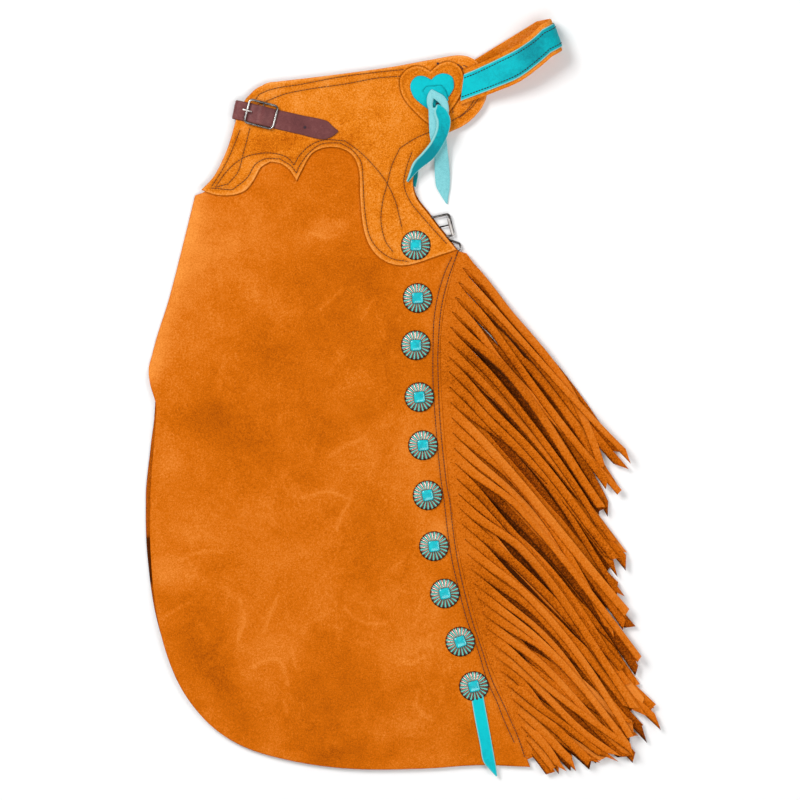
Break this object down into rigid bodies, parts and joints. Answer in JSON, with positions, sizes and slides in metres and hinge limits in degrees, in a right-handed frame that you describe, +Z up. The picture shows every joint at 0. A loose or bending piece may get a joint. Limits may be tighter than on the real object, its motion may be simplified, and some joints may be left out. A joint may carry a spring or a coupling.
{
  "type": "fringed leather chaps folded in half and laid flat",
  "caption": "Short suede riding chaps with a scalloped yoke, fringe down the outer edge, a row of fluted conchos, a heart rosette with lace, a back belt and a front strap; folded and laid flat.",
  "frame": {"origin": "on the floor under the middle of the folded garment's box", "axes": "+Y from the hem to the belt, +X from the front fold to the fringe, +Z up from the floor it lies on"},
  "size_m": [0.5622, 0.8342, 0.0325],
  "materials": {
    "suede": "napped tan suede, matte",
    "yoke_suede": "lighter napped tan suede, matte",
    "turquoise_leather": "smooth grain leather, satin",
    "pale_leather": "pale flesh side of the turquoise leather, matte",
    "burgundy_leather": "oiled strap leather, satin",
    "nickel": "polished nickel",
    "concho_metal": "aged copper with verdigris in the flutes",
    "stone": "smooth turquoise cabochon"
  },
  "bodies": {
    "root": {"folded_half": "suede", "leg_front": "suede", "yoke": "yoke_suede", "fringe_top": "suede", "fringe_middle": "suede", "fringe_bottom": "suede", "heart_suede": "yoke_suede", "heart_turquoise": "turquoise_leather", "lace_knot": "pale_leather", "lace_tail_pale": "pale_leather", "lace_tail_dark": "turquoise_leather", "lace_hidden_end": "turquoise_leather", "concho_tie": "turquoise_leather", "back_belt": "yoke_suede", "belt_overlay": "turquoise_leather", "front_strap": "burgundy_leather", "front_chape": "burgundy_leather", "front_buckle_frame": "nickel", "front_buckle_bar": "nickel", "front_buckle_prong": "nickel", "thigh_buckle_frame": "nickel", "thigh_buckle_prong": "nickel", "thigh_loop": "nickel", "thigh_tab": "suede", "concho_01": "concho_metal", "stone_01": "stone", "concho_02": "concho_metal", "stone_02": "stone", "concho_03": "concho_metal", "stone_03": "stone", "concho_04": "concho_metal", "stone_04": "stone", "concho_05": "concho_metal", "stone_05": "stone", "concho_06": "concho_metal", "stone_06": "stone", "concho_07": "concho_metal", "stone_07": "stone", "concho_08": "concho_metal", "stone_08": "stone", "concho_09": "concho_metal", "stone_09": "stone", "concho_10": "concho_metal", "stone_10": "stone"}
  },
  "joints": []
}
